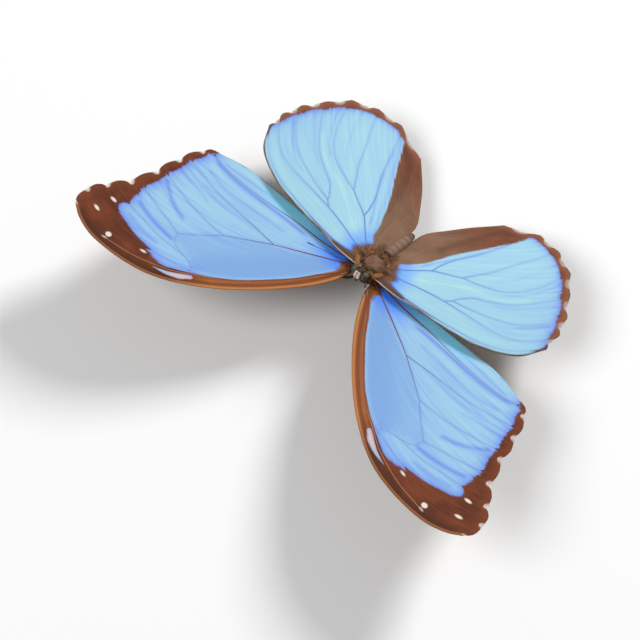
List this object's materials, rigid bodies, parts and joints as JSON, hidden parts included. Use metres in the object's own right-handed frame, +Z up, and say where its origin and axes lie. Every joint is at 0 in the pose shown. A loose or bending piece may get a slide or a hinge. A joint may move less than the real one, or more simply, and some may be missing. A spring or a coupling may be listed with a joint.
{
  "type": "blue morpho butterfly model",
  "caption": "Life-size still model of a standing blue morpho butterfly, wings held open, head raised, antennae up.",
  "frame": {"origin": "middle of the model's box in plan, on the floor plane that the feet stand on", "axes": "+X to the butterfly's left, -Y the way it faces, +Z up"},
  "size_m": [0.129, 0.0818, 0.0433],
  "materials": {
    "wing": "blue structural-colour scales over a dark membrane, satin sheen",
    "body_hair": "short brown and tan hair scales",
    "abdomen": "close-lying grey-brown scales in rings",
    "tegula": "smooth tan scales",
    "palp": "white and pink scales",
    "eye": "faceted grey-green compound eye, glossy",
    "antenna": "dark ringed antenna with a slim club",
    "chitin": "dark grey-brown chitin"
  },
  "bodies": {
    "root": {"head": "body_hair", "eye_l": "eye", "eye_r": "eye", "palp_l": "palp", "palp_r": "palp", "proboscis": "chitin", "antenna_l": "antenna", "antenna_r": "antenna", "collar": "body_hair", "thorax": "body_hair", "abdomen": "abdomen", "tegula_l": "tegula", "tegula_r": "tegula", "forewing_l": "wing", "forewing_r": "wing", "hindwing_l": "wing", "hindwing_r": "wing", "foreleg_l": "chitin", "foreleg_r": "chitin", "midleg_femur_l": "chitin", "midleg_tibia_l": "chitin", "midleg_tarsus_l": "chitin", "midleg_femur_r": "chitin", "midleg_tibia_r": "chitin", "midleg_tarsus_r": "chitin", "hindleg_femur_l": "chitin", "hindleg_tibia_l": "chitin", "hindleg_tarsus_l": "chitin", "hindleg_femur_r": "chitin", "hindleg_tibia_r": "chitin", "hindleg_tarsus_r": "chitin"}
  },
  "joints": []
}
